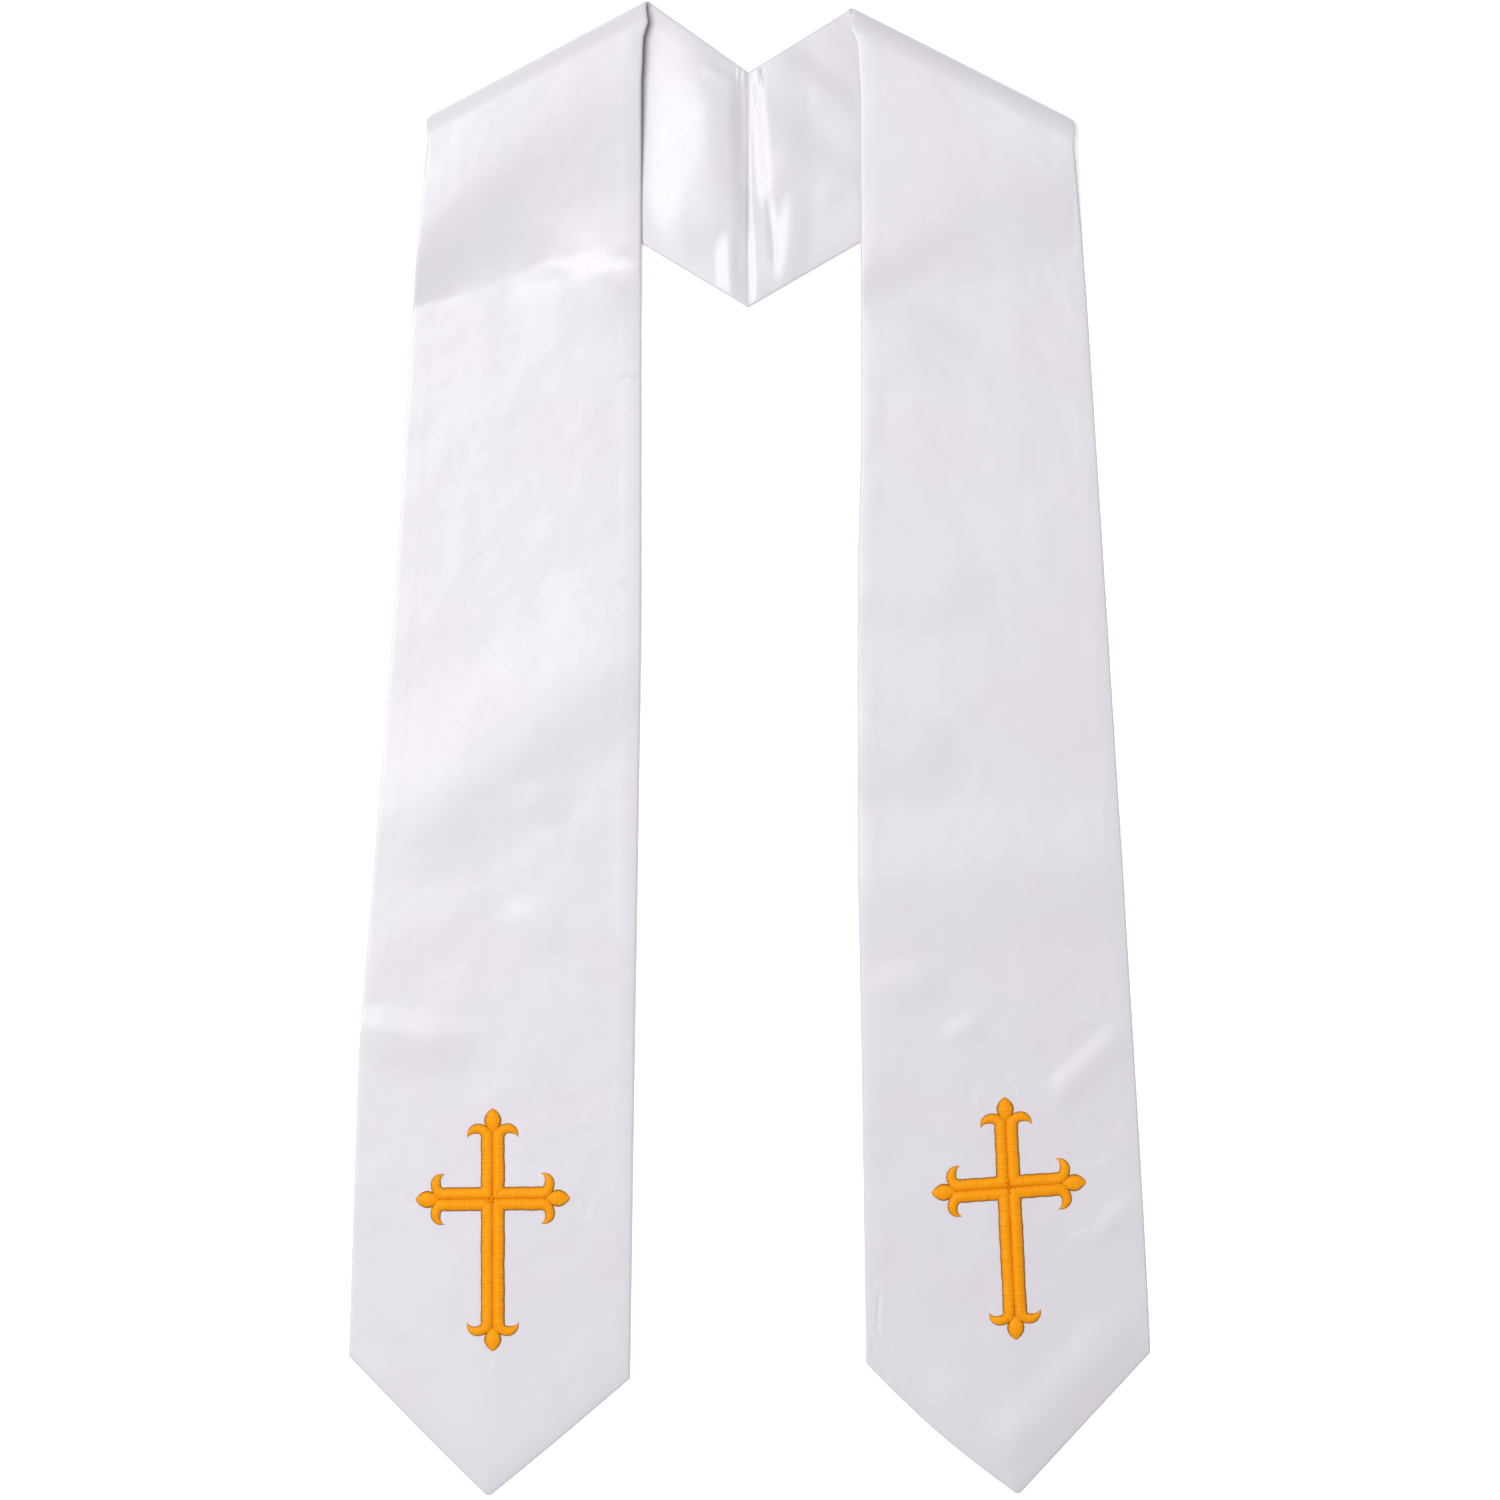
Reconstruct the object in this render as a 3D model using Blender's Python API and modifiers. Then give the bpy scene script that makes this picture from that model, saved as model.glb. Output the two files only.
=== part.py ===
"""Clerical stole, laid flat with its two shoulder folds closed.

Two long bands of white satin meet in a seam at the centre of the back. Each band is a face and a
lining sewn edge to edge. It runs from the seam to the shoulder, folds over once, and comes down
over itself as a front panel that widens to a pointed end with an embroidered cross.

Sizes are in millimetres, and each mesh is turned to metres as it is made. X is to the right as the
stole is seen from above, Y runs up towards the shoulders and Z = 0 is the surface that it lies on.
In the tables, "out" is the distance from the centre back seam and "down" the distance below the
highest point of the shoulders.
"""

import math
from collections import namedtuple

import bmesh
import bpy
import numpy as np

MM = 0.001

# The cloth: a face and a lining with a hairline between them
WALL = 1.0
LAYER_GAP = 0.3
BAND = 2 * WALL + LAYER_GAP
REST = BAND / 2

# Where the seam and the shoulders stand in the part's own frame
SEAM_X = -0.8
SHOULDER_Y = 396.44
SEAM_GAP = 0.3
SEAM_TOP = 37.6
SEAM_FOOT = 162.6

# The roll of the shoulder fold, tighter below than above
ROLL_UNDER = 3.2
ROLL_OVER = 6.0
ROLL_UNDER_TURNS = (0, 30, 60)
ROLL_OVER_TURNS = (90, 108, 126, 144, 162, 180)

# The front panel lies on its own back band, then steps down to the table
LEG_GAP = 0.6
STEP_START = 10.0
STEP_LENGTH = 26.0

# Rows of the mesh, as shares of the back band's and the front panel's length
BACK_ROWS = (0.0, 0.03, 0.06, 0.09, 0.13, 0.17, 0.22, 0.28, 0.35, 0.44, 0.55, 0.67, 0.79, 0.90)
PANEL_ROWS = 50
TIP_STARTS = 0.80
COLUMNS = (0.0, 0.03, 0.09, 0.17, 0.25, 0.33, 0.41, 0.50, 0.59, 0.68, 0.78, 0.88, 0.96, 1.0)
TIP_COLUMN = 0.50

# The embroidered cross: two padded strands to an arm, a hook on each and a bud between
CROSS_LIFT = 0.3
STRAND_SPACING = 5.2
STRAND_HALF = 3.6
EDGE_THICKNESS = 0.4
STRAND_CROWN = 1.6
HOOK_RADIUS = 5.5
HOOK_OUT = 8.0
HOOK_BELOW_TIP = 16.3
HOOK_END = 5
HOOK_STEPS = 8
HOOK_HALF = 2.7
POINT_HALF = 0.25
BUD_LENGTH = 12.8
BUD_HALF = 4.6
BUD_BLUNT = 0.65
BUD_CROWN = 1.9
BUD_STEPS = 7
CROWN_STEPS = 6
ARM_REACH = {"up": 48.0, "out": 41.0, "down": 80.8, "in": 41.0}
# Its stitches hold the cloth flat for this half width of each bar, and the cloth is free beyond
BAR_HALF = 21.0
CROSS_FREE = 12.0

Place = namedtuple("Place", "out down")
# A soft ridge that runs from a to b, outwards or down. "Plus" is the width of its flank above a
# run outwards, or outside a run down, and "minus" that of the other. "Fade" is how far it dies
# away past its ends; "open" and "end" are its width and height at b, as shares of those at a.
Fold = namedtuple(
    "Fold",
    "out_a down_a out_b down_b plus minus height fade open end",
    defaults=(1.0, 1.0),
)
# How far below the shoulder fold the panel comes to rest beside each of its edges, how that line
# bows between them, how late the cloth starts to come down beside each, the share of its drop
# beside the outer edge that is one straight slope, and how crisply it ends beside the neck edge
Settle = namedtuple("Settle", "neck outer bow neck_late outer_late straight crisp")
Cross = namedtuple("Cross", "out down tilt")
Half = namedtuple(
    "Half",
    "name side shoulder_neck shoulder_outer neck_edge outer_edge tip tip_bows cross "
    "settle folds back_folds",
)
Bows = namedtuple("Bows", "neck_side outer_side")

LEFT = Half(
    name="left",
    side=-1,
    shoulder_neck=Place(out=53.8, down=0.0),
    shoulder_outer=Place(out=169.6, down=61.5),
    neck_edge=(
        Place(out=56.4, down=22.0),
        Place(out=56.4, down=328.0),
        Place(out=58.3, down=455.0),
        Place(out=60.4, down=582.0),
        Place(out=62.5, down=729.8),
    ),
    outer_edge=(
        Place(out=176.0, down=137.0),
        Place(out=188.2, down=328.0),
        Place(out=198.2, down=455.0),
        Place(out=206.2, down=551.0),
        Place(out=208.6, down=620.0),
        Place(out=211.6, down=718.2),
    ),
    tip=Place(out=137.8, down=792.9),
    tip_bows=Bows(neck_side=0.4, outer_side=0.5),
    cross=Cross(out=135.2, down=634.7, tilt=0.3),
    settle=Settle(
        neck=103, outer=86, bow=1.0, neck_late=1.2, outer_late=6.0, straight=0.45, crisp=0.7
    ),
    folds=(
        Fold(50, 139, 92, 150, plus=18, minus=40, height=3.4, fade=40, open=0.9, end=0.7),
        Fold(74, 352, 160, 420, plus=60, minus=46, height=1.9, fade=60),
        Fold(168, 549, 190, 546, plus=15, minus=26, height=1.3, fade=30),
    ),
    back_folds=(
        Fold(28, 44, 30, 98, plus=26, minus=27, height=2.7, fade=44),
        Fold(11, 60, 9, 110, plus=24, minus=9.5, height=1.6, fade=30),
        Fold(9.5, 138, 9, 150, plus=8, minus=6, height=1.8, fade=20),
    ),
)

RIGHT = Half(
    name="right",
    side=1,
    shoulder_neck=Place(out=55.0, down=3.7),
    shoulder_outer=Place(out=172.4, down=63.1),
    neck_edge=(
        Place(out=58.8, down=26.0),
        Place(out=59.9, down=232.0),
        Place(out=57.8, down=300.0),
        Place(out=57.8, down=455.0),
        Place(out=59.9, down=551.0),
        Place(out=62.5, down=722.0),
    ),
    outer_edge=(
        Place(out=178.1, down=137.0),
        Place(out=190.3, down=328.0),
        Place(out=198.2, down=455.0),
        Place(out=209.9, down=646.0),
        Place(out=213.2, down=716.0),
    ),
    tip=Place(out=143.1, down=791.8),
    tip_bows=Bows(neck_side=2.8, outer_side=0.0),
    cross=Cross(out=138.2, down=628.7, tilt=3.5),
    settle=Settle(
        neck=128, outer=60, bow=1.6, neck_late=1.0, outer_late=1.1, straight=0.5, crisp=0.45
    ),
    folds=(
        Fold(50, 172, 78, 176, plus=22, minus=42, height=1.0, fade=44),
        Fold(64, 309, 104, 311, plus=24, minus=30, height=1.3, fade=28),
        Fold(62, 388, 88, 397, plus=24, minus=36, height=1.8, fade=32),
        Fold(74, 464, 180, 457, plus=42, minus=48, height=1.7, fade=50),
        Fold(168, 575, 188, 556, plus=11, minus=14, height=1.5, fade=24),
        Fold(180, 652, 198, 641, plus=9, minus=14, height=1.1, fade=20),
        Fold(110, 738, 140, 762, plus=16, minus=20, height=0.9, fade=22),
        Fold(148, 757, 190, 713, plus=22, minus=16, height=1.7, fade=26),
    ),
    back_folds=(
        Fold(11, 60, 13, 90, plus=24, minus=10, height=1.7, fade=34),
        Fold(22, 36, 38, 48, plus=14, minus=20, height=1.1, fade=24),
        Fold(23, 118, 21, 135, plus=13, minus=8, height=1.4, fade=24),
        Fold(30, 86, 42, 92, plus=18, minus=28, height=1.0, fade=22),
    ),
)

HALVES = (LEFT, RIGHT)

# Colours are linear values
SATIN_WHITE = (0.86, 0.84, 0.88, 1.0)
GOLD_THREAD = (0.95, 0.35, 0.02, 1.0)


def ease(value):
    """A soft rise from 0 to 1 as value goes from 0 to 1."""
    held = min(max(value, 0.0), 1.0)
    return held * held * (3.0 - 2.0 * held)


def pair(place):
    return np.array((place.out, place.down))


def fold_frame(half):
    """Directions along the shoulder fold, outward, and square to it, towards the panel."""
    start = pair(half.shoulder_neck)
    along = pair(half.shoulder_outer) - start
    along = along / np.linalg.norm(along)
    inward = np.array((-along[1], along[0]))
    return start, along, inward


def edge_place(edge, down):
    downs = [place.down for place in edge]
    outs = [place.out for place in edge]
    return np.array((np.interp(down, downs, outs), down))


def drift(direction, along, inward):
    """How far an edge moves along the fold for each unit that it runs square to it."""
    return float(direction @ along) / float(direction @ inward)


def fold_lift(folds, spot):
    """How far the soft folds lift the cloth at one spot."""
    lift = 0.0
    for fold in folds:
        run = np.array((fold.out_b - fold.out_a, fold.down_b - fold.down_a))
        length = np.linalg.norm(run)
        run = run / length
        offset = spot - np.array((fold.out_a, fold.down_a))
        along = float(offset @ run)
        beside = float(offset @ np.array((run[1], -run[0])))
        share = min(max(along / length, 0.0), 1.0)
        flank = (fold.plus if beside > 0.0 else fold.minus) * (1.0 + (fold.open - 1.0) * share)
        apart = math.hypot(beside / flank, (along - share * length) / fold.fade)
        lift += fold.height * (1.0 + (fold.end - 1.0) * share) * ease(1.0 - apart)
    return lift


def back_edge_distance(half, spot):
    """Distance of a spot past the outer edge of the back band, on the side away from the neck."""
    start = pair(half.shoulder_outer)
    run = np.array((0.0, SEAM_FOOT)) - start
    run = run / np.linalg.norm(run)
    return float((spot - start) @ np.array((run[1], -run[0])))


def cross_distance(half, spot):
    """Distance of a spot from the bars of the cross, whose stitches hold the cloth flat."""
    turn = math.radians(half.cross.tilt)
    aside = half.side * (spot[0] - half.cross.out)
    above = half.cross.down - spot[1]
    across = abs(aside * math.cos(turn) + above * math.sin(turn))
    upward = above * math.cos(turn) - aside * math.sin(turn)
    past_ends = max(upward - ARM_REACH["up"], -ARM_REACH["down"] - upward, 0.0)
    upright = math.hypot(max(across - BAR_HALF, 0.0), past_ends)
    beside = max(across - ARM_REACH["out"], 0.0)
    beam = math.hypot(beside, max(abs(upward) - BAR_HALF, 0.0))
    return min(upright, beam)


def panel_height(half, spot):
    """Height of the middle of the front panel's cloth: down from the roll, over the back band."""
    start, _, inward = fold_frame(half)
    from_fold = float((spot - start) @ inward)
    beside = (spot[0] - start[0]) / (half.shoulder_outer.out - start[0])
    beside = min(max(beside, 0.0), 1.0)
    level = REST + ROLL_OVER
    settle = half.settle
    settled = settle.neck + (settle.outer - settle.neck) * beside**settle.bow
    late = settle.neck_late + (settle.outer_late - settle.neck_late) * beside**4
    straight = settle.straight * beside**2
    share = min(max((from_fold - level) / (settled - level), 0.0), 1.0)
    crisp = settle.crisp * (1.0 - beside)
    drop = ease(share) ** late * (1.0 - crisp) + share ** (2.0 * late) * crisp
    drop = share * straight + drop * (1.0 - straight)
    roll_top = ROLL_UNDER + ROLL_OVER
    slope = roll_top * (1.0 - drop)
    past = back_edge_distance(half, spot)
    carried = (BAND + LEG_GAP) * (1.0 - ease((past - STEP_START) / STEP_LENGTH))
    lift = fold_lift(half.folds, spot) * ease((cross_distance(half, spot) - 1.0) / CROSS_FREE)
    return REST + math.hypot(slope, carried * (1.0 - slope / roll_top)) + lift


def roll_sections(half):
    """Rows round the shoulder fold: place at the neck edge, place at the outer edge, height."""
    start, along, inward = fold_frame(half)
    end = pair(half.shoulder_outer)
    neck_run = drift(pair(half.neck_edge[1]) - pair(half.neck_edge[0]), along, inward)
    outer_run = drift(pair(half.outer_edge[0]) - end, along, inward)
    sections = []
    for turn in ROLL_UNDER_TURNS + ROLL_OVER_TURNS:
        angle = math.radians(turn)
        radius = ROLL_UNDER if turn < 90 else ROLL_OVER
        across = REST + radius * (1.0 - math.sin(angle))
        height = REST + ROLL_UNDER - radius * math.cos(angle)
        cloth = radius * (angle - math.pi / 2)
        neck = start + inward * across + along * neck_run * cloth
        outer = end + inward * across + along * outer_run * cloth
        sections.append((neck, outer, height))
    return sections


def straight_row(neck, outer):
    return [neck + (outer - neck) * share for share in COLUMNS]


def tip_edge(half, share):
    """A spot on the pointed end, from the neck side's corner by the tip to the outer corner."""
    tip = pair(half.tip)
    if share <= TIP_COLUMN:
        corner = pair(half.neck_edge[-1])
        from_corner = share / TIP_COLUMN
        bow = half.tip_bows.neck_side
        outward = -1.0
    else:
        corner = pair(half.outer_edge[-1])
        from_corner = (1.0 - share) / (1.0 - TIP_COLUMN)
        bow = half.tip_bows.outer_side
        outward = 1.0
    run = tip - corner
    square = np.array((run[1], -run[0])) * outward / np.linalg.norm(run)
    return corner + run * from_corner + square * bow * math.sin(math.pi * from_corner)


def back_rows(half, first_neck, first_outer):
    """The back band, from the seam to the foot of the roll."""
    seam_neck = np.array((SEAM_GAP / 2, SEAM_TOP))
    seam_outer = np.array((SEAM_GAP / 2, SEAM_FOOT))
    rows = []
    for share in BACK_ROWS:
        neck = seam_neck + (first_neck - seam_neck) * share
        outer = seam_outer + (first_outer - seam_outer) * share
        spots = straight_row(neck, outer)
        rows.append([(spot, REST + fold_lift(half.back_folds, spot)) for spot in spots])
    return rows


def panel_rows(half, last_neck, last_outer):
    """The front panel, from the head of the roll to the pointed end."""
    neck_edge = (Place(*last_neck),) + half.neck_edge
    outer_edge = (Place(*last_outer),) + half.outer_edge
    rows = []
    for step in range(1, PANEL_ROWS + 1):
        share = step / PANEL_ROWS
        neck_down = last_neck[1] + (half.neck_edge[-1].down - last_neck[1]) * share
        outer_down = last_outer[1] + (half.outer_edge[-1].down - last_outer[1]) * share
        spots = straight_row(edge_place(neck_edge, neck_down), edge_place(outer_edge, outer_down))
        pointed = ease((share - TIP_STARTS) / (1.0 - TIP_STARTS))
        bent = []
        for column, spot in zip(COLUMNS, spots):
            bent.append(spot + (tip_edge(half, column) - spot) * pointed)
        rows.append([(spot, panel_height(half, spot)) for spot in bent])
    return rows


def band_middle(half):
    """The middle of the cloth as a grid of points, seam to tip by neck edge to outer edge."""
    roll = roll_sections(half)
    rows = back_rows(half, roll[0][0], roll[0][1])
    for neck, outer, height in roll:
        rows.append([(spot, height) for spot in straight_row(neck, outer)])
    rows += panel_rows(half, roll[-1][0], roll[-1][1])
    grid = np.empty((len(rows), len(COLUMNS), 3))
    for i, row in enumerate(rows):
        for j, (spot, height) in enumerate(row):
            grid[i, j] = (SEAM_X + half.side * spot[0], SHOULDER_Y - spot[1], height)
    return grid


def face_side(grid, side):
    """Unit directions out of the face of the cloth: up on the panel, down on the back band."""
    along = np.gradient(grid, axis=0)
    across = np.gradient(grid, axis=1)
    out = np.cross(along, across) * side
    return out / np.linalg.norm(out, axis=2, keepdims=True)


def parts_collection(name):
    collection = bpy.data.collections.new(name)
    bpy.context.scene.collection.children.link(collection)
    return collection


def finish_material(name, colour, roughness, metallic):
    material = bpy.data.materials.new(name)
    material.use_nodes = True
    shader = material.node_tree.nodes["Principled BSDF"]
    shader.inputs["Base Color"].default_value = colour
    shader.inputs["Roughness"].default_value = roughness
    shader.inputs["Metallic"].default_value = metallic
    material.diffuse_color = colour
    return material


def add_object(name, points, faces, material, collection):
    """A new object from points in millimetres and faces as lists of their numbers."""
    mesh = bpy.data.meshes.new(name)
    mesh.from_pydata([tuple(float(value) * MM for value in point) for point in points], [], faces)
    mesh.materials.append(material)
    part = bpy.data.objects.new(name, mesh)
    collection.objects.link(part)
    return part


def cloth_wall(name, grid, out, with_grid, material, collection):
    """One layer of cloth: an open sheet beside the middle, thickened away from it."""
    rows, columns = grid.shape[:2]
    points = (grid + out * LAYER_GAP / 2).reshape(-1, 3)
    faces = []
    for i in range(rows - 1):
        for j in range(columns - 1):
            corner = i * columns + j
            # Both layers split each cell the same way, so that they keep their distance
            for ring in (
                [corner, corner + columns, corner + columns + 1],
                [corner, corner + columns + 1, corner + 1],
            ):
                faces.append(ring if with_grid else ring[::-1])
    wall = add_object(name, points, faces, material, collection)
    shell = wall.modifiers.new("Thickness", "SOLIDIFY")
    shell.thickness = WALL * MM
    shell.offset = 1.0
    shell.use_even_offset = True
    return wall


def build_band(half, collection):
    """The face and the lining of one half of the stole."""
    grid = band_middle(half)
    out = face_side(grid, half.side)
    satin = finish_material(f"face_satin_{half.name}", SATIN_WHITE, 0.35, 0.0)
    cloth_wall(f"face_{half.name}", grid, out, half.side > 0, satin, collection)
    inner_satin = finish_material(f"lining_satin_{half.name}", SATIN_WHITE, 0.35, 0.0)
    cloth_wall(f"lining_{half.name}", grid, -out, half.side < 0, inner_satin, collection)


def crowned_section(centre, across, half_width, crown):
    """A padded section: a thin edge on each side and a round crown between, flat beneath."""
    ring = [(-1.0, 0.0), (1.0, 0.0)]
    for step in range(CROWN_STEPS + 1):
        angle = math.pi * step / CROWN_STEPS
        ring.append((math.cos(angle), EDGE_THICKNESS + crown * math.sin(angle)))
    points = []
    for sideways, height in ring:
        spot = np.asarray(centre) + np.asarray(across) * half_width * sideways
        points.append((spot[0], spot[1], height))
    return points


def loft(name, sections, material, collection):
    """A closed solid through sections that each have the same number of points."""
    size = len(sections[0])
    points = [point for section in sections for point in section]
    faces = []
    for i in range(len(sections) - 1):
        for j in range(size):
            ahead = (j + 1) % size
            faces.append([i * size + j, i * size + ahead, (i + 1) * size + ahead, (i + 1) * size + j])
    last = (len(sections) - 1) * size
    faces.append(list(range(size))[::-1])
    faces.append([last + j for j in range(size)])
    solid = add_object(name, points, faces, material, collection)
    shape = bmesh.new()
    shape.from_mesh(solid.data)
    bmesh.ops.recalc_face_normals(shape, faces=shape.faces)
    shape.to_mesh(solid.data)
    shape.free()
    return solid


def crown_for(half_width):
    return STRAND_CROWN * math.sqrt(half_width / STRAND_HALF)


def hook_sections(reach, arm, sideways):
    """Sections from the point of a hook to the foot of its curl, for the arm that runs along arm."""
    sections = []
    for step in range(HOOK_STEPS + 1):
        share = step / HOOK_STEPS
        turn = math.radians(HOOK_END + (180 - HOOK_END) * share)
        radial = arm * math.sin(turn) + sideways * math.cos(turn)
        centre = arm * (reach - HOOK_BELOW_TIP) + sideways * HOOK_OUT + radial * HOOK_RADIUS
        if share < 0.5:
            half_width = POINT_HALF + (HOOK_HALF - POINT_HALF) * math.sin(math.pi * share)
        else:
            half_width = HOOK_HALF + (STRAND_HALF - HOOK_HALF) * ease(2.0 * share - 1.0)
        sections.append((centre, radial, half_width))
    return sections


def strand_sections(arm_a, reach_a, arm_b, reach_b):
    """One strand: a hook, along its arm, round the mitred corner and out to the next hook."""
    route = hook_sections(reach_a, arm_a, arm_b)
    corner = (arm_a + arm_b) * STRAND_SPACING / 2
    mitre = (arm_a + arm_b) / -math.sqrt(2.0)
    route.append((corner, mitre, STRAND_HALF * math.sqrt(2.0)))
    route += reversed(hook_sections(reach_b, arm_b, arm_a))
    sections = []
    for centre, radial, half_width in route:
        width = min(half_width, STRAND_HALF)
        sections.append(crowned_section(centre, radial, half_width, crown_for(width)))
    return sections


def bud_sections(reach, arm, sideways):
    """The pointed bud at the end of an arm, from its tip to the point between the strands."""
    sections = []
    for step in range(BUD_STEPS + 1):
        share = step / BUD_STEPS
        half_width = POINT_HALF + (BUD_HALF - POINT_HALF) * math.sin(math.pi * share) ** BUD_BLUNT
        centre = arm * (reach - BUD_LENGTH * share)
        crown = BUD_CROWN * math.sqrt(half_width / BUD_HALF)
        sections.append(crowned_section(centre, sideways, half_width, crown))
    return sections


def build_cross(half, collection, helpers):
    """The embroidered cross: four strands and four buds made one solid."""
    gold = finish_material(f"gold_thread_{half.name}", GOLD_THREAD, 0.4, 0.0)
    upright = np.array((0.0, 1.0))
    bar = np.array((1.0, 0.0))
    arms = (
        (upright, ARM_REACH["up"]),
        (bar, ARM_REACH["out"]),
        (-upright, ARM_REACH["down"]),
        (-bar, ARM_REACH["in"]),
    )
    pieces = []
    for i, (arm, reach) in enumerate(arms):
        next_arm, next_reach = arms[(i + 1) % len(arms)]
        name = f"cross_{half.name}" if i == 0 else f"strand_{half.name}_{i + 1}"
        home = collection if i == 0 else helpers
        pieces.append(loft(name, strand_sections(arm, reach, next_arm, next_reach), gold, home))
    for i, (arm, reach) in enumerate(arms):
        sideways = arms[(i + 1) % len(arms)][0]
        pieces.append(loft(f"bud_{half.name}_{i + 1}", bud_sections(reach, arm, sideways), gold, helpers))
    height = BAND + CROSS_LIFT
    x = SEAM_X + half.side * half.cross.out
    y = SHOULDER_Y - half.cross.down
    for piece in pieces:
        piece.location = (x * MM, y * MM, height * MM)
        piece.rotation_euler = (0.0, 0.0, math.radians(half.cross.tilt))
    for piece in pieces[1:]:
        piece.hide_render = True
        piece.display_type = "WIRE"
        joined = pieces[0].modifiers.new(f"Join {piece.name}", "BOOLEAN")
        joined.operation = "UNION"
        joined.solver = "EXACT"
        joined.object = piece


def main():
    for old in list(bpy.data.objects):
        bpy.data.objects.remove(old, do_unlink=True)
    collection = parts_collection("clerical_stole")
    helpers = parts_collection("cross_helpers")
    for half in HALVES:
        build_band(half, collection)
        build_cross(half, collection, helpers)


main()
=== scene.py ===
"""The looks of a clerical stole that lies flat: white satin bands with padded gold crosses.

Each half is a band of two layers, a face and a lining, that runs from the centre back seam to the
shoulder, folds over once and comes down as a front panel with a pointed end. Lengths in the tables
are in millimetres. "Out" is the distance from the centre back seam and "down" the distance below
the highest point of the shoulders, as in the solids that the pieces here stand for.
"""

import math
from collections import namedtuple

import bpy
import numpy as np
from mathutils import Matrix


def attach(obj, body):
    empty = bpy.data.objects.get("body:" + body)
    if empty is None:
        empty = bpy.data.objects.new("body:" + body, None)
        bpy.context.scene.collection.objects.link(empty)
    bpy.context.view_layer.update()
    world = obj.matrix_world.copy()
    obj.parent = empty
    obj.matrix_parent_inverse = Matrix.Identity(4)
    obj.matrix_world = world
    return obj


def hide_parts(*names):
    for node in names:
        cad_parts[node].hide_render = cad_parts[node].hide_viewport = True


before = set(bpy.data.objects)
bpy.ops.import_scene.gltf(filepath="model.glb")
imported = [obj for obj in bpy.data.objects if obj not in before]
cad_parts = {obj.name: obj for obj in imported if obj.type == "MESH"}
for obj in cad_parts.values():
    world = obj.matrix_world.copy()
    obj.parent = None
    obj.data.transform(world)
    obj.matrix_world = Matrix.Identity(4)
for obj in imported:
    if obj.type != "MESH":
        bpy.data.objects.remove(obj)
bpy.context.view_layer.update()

bl_info = {
    "name": "Clerical Stole",
    "version": (1, 0, 0),
    "blender": (4, 5, 0),
    "location": "3D View > Sidebar > Stole",
    "description": "Builds a white satin stole with gold crosses, laid flat",
    "category": "Add Mesh",
}

MM = 0.001

# The band and where its seam, its rolls and its tip lie, as in the solids
REST = 1.15
BAND = 2.3
SEAM_X = -0.8
SHOULDER_Y = 396.44
SEAM_GAP = 0.3
SEAM_TOP = 37.6
SEAM_FOOT = 162.6
ROLL_UNDER = 3.2
ROLL_OVER = 6.0
# Above its rim the roll is this much longer than it is high
ROLL_LONG = 1.7
LEG_GAP = 0.6
STEP_START = 10.0
STEP_LENGTH = 26.0
TIP_STARTS = 0.80
TIP_COLUMN = 0.50

# Mesh rows along the band and columns across it
PANEL_ROWS = 372
HIDDEN_PANEL_ROWS = 90
END_ROWS = 14
END_LENGTH = 9.0
ROLL_ROWS = 26
BACK_ROWS = 96
HIDDEN_BACK_ROWS = 26
COLUMNS = 92
HIDDEN_COLUMNS = 48
EDGE_CROWDING = 0.5
# An edge's corners are smoothed over this length, from this many samples
SMOOTHING = 22.0
SMOOTHING_SAMPLES = 9
# Rows in which the distance from the pointed end is measured
HEM_ROWS = 3 * END_ROWS
TINY = 1e-9

# One layer's thickness, half of what an edge keeps, and the width over which it turns under
SHEET = 0.35
EDGE_HALF = 0.4
EDGE_TURN = 1.0
SMOOTH_ANGLE = math.radians(50)
# The seam allowance: its width, the step that it makes, and how softly
ALLOWANCE = 9.0
ALLOWANCE_STEP = 0.05
ALLOWANCE_EASE = 4.0

# The cross: two padded strands to an arm, a hook on each and a bud between
STRAND_SPACING = 5.2
STRAND_OUTER = 3.75
STRAND_INNER = 2.8
STRAND_CROWN = 2.3
STRAND_FOOT = 2.2
HOOK_RADIUS = 5.5
HOOK_OUT = 8.0
HOOK_BELOW_TIP = 16.3
HOOK_END = 5
HOOK_HALF = 2.7
HOOK_SLENDER = 1.3
BUD_LENGTH = 12.8
BUD_HALF = 4.6
BUD_BLUNT = 0.75
BUD_CROWN = 2.0
FAN_LENGTH = 12.0
ROWS_TO_A_THREAD = 3
RING = 16
CROWN_ROUND = 0.95
# Length of thread from a crown down one side
LOBE_SIDE = 4.0
# Strands swing to either side of their line in waves of these lengths, and swell a little
STRAND_WAVES = (9.0, 21.0, 37.0)
STRAND_SWING = 0.06
CROWN_SWELL = 0.02
SIDE_SWELL = 0.003
# How unevenly the threads lie, in height and at their ends
THREAD_SPREAD = 0.006
THREAD_RAGGED = 0.004
# Loose tufts where the strands meet at the centre
TUFTS = 9
TUFT_ROWS = 9
TUFT_LENGTH = 4.4
TUFT_LENGTHS = (0.6, 1.1)
TUFT_HALF = 0.7
TUFT_HALVES = (0.7, 1.1)
TUFT_BOW = 0.5
TUFT_REACH = 3.6
TUFT_ENDS = 0.8
TUFT_RISE = 0.38
# Share of the shade painted down a tuft's second side
TUFT_SHADE = 0.6
ARM_REACH = {"up": 48.0, "out": 41.0, "down": 80.8, "in": 41.0}
# Its stitches hold the cloth flat for this half width of each bar, and free it further out
BAR_HALF = 21.0
CROSS_HELD = 1.0
CROSS_FREE = 12.0
MERGE_REACH = 0.002
# Each lobe has its own stretch of thread shades, this far from the last
LOBE_APART = 700.0
# Seeds of the random draws: each cross's first, and how far on its buds' and tufts' are
CROSS_SEED = 100
BUD_SEED = 10
TUFT_SEED = 20

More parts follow.
